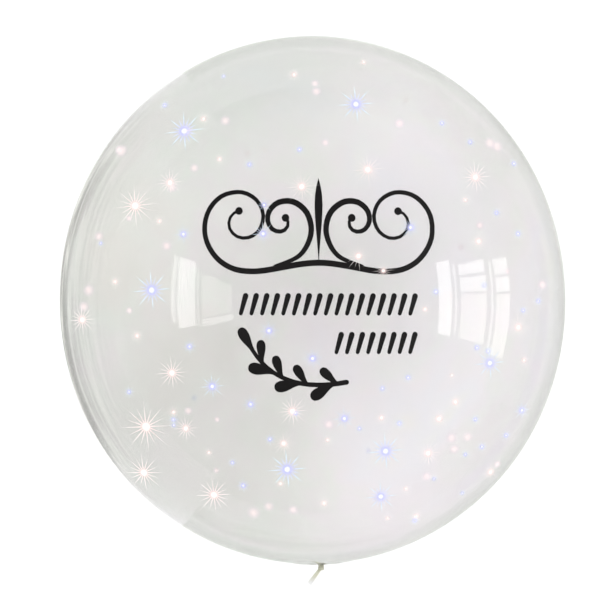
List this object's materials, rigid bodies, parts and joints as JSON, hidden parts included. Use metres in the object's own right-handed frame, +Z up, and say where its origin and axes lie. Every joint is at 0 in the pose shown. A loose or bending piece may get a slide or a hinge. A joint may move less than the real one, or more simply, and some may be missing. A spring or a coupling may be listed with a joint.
{
  "type": "clear bubble balloon",
  "caption": "Clear round film balloon lying on its side, inflated, with a knotted neck and tail and black cut-vinyl scrolls, slanted strokes and a leaf sprig on top.",
  "frame": {"origin": "centre of the small flat spot that the balloon lies on", "axes": "+Z up from the flat spot to the decorated side, +Y along the balloon's axis from the tied neck to the crown, +X to the right of the decoration"},
  "size_m": [0.5996, 0.6527, 0.5982],
  "materials": {
    "clear_film": "clear glossy stretch film, faintly iridescent",
    "black_vinyl": "black self-adhesive vinyl, satin"
  },
  "bodies": {
    "root": {"film_envelope": "clear_film", "scroll_flourish": "black_vinyl", "upper_stroke_01": "black_vinyl", "upper_stroke_02": "black_vinyl", "upper_stroke_03": "black_vinyl", "upper_stroke_04": "black_vinyl", "upper_stroke_05": "black_vinyl", "upper_stroke_06": "black_vinyl", "upper_stroke_07": "black_vinyl", "upper_stroke_08": "black_vinyl", "upper_stroke_09": "black_vinyl", "upper_stroke_10": "black_vinyl", "upper_stroke_11": "black_vinyl", "upper_stroke_12": "black_vinyl", "upper_stroke_13": "black_vinyl", "upper_stroke_14": "black_vinyl", "upper_stroke_15": "black_vinyl", "upper_stroke_16": "black_vinyl", "upper_stroke_17": "black_vinyl", "lower_stroke_01": "black_vinyl", "lower_stroke_02": "black_vinyl", "lower_stroke_03": "black_vinyl", "lower_stroke_04": "black_vinyl", "lower_stroke_05": "black_vinyl", "lower_stroke_06": "black_vinyl", "lower_stroke_07": "black_vinyl", "lower_stroke_08": "black_vinyl", "leaf_sprig": "black_vinyl"}
  },
  "joints": []
}
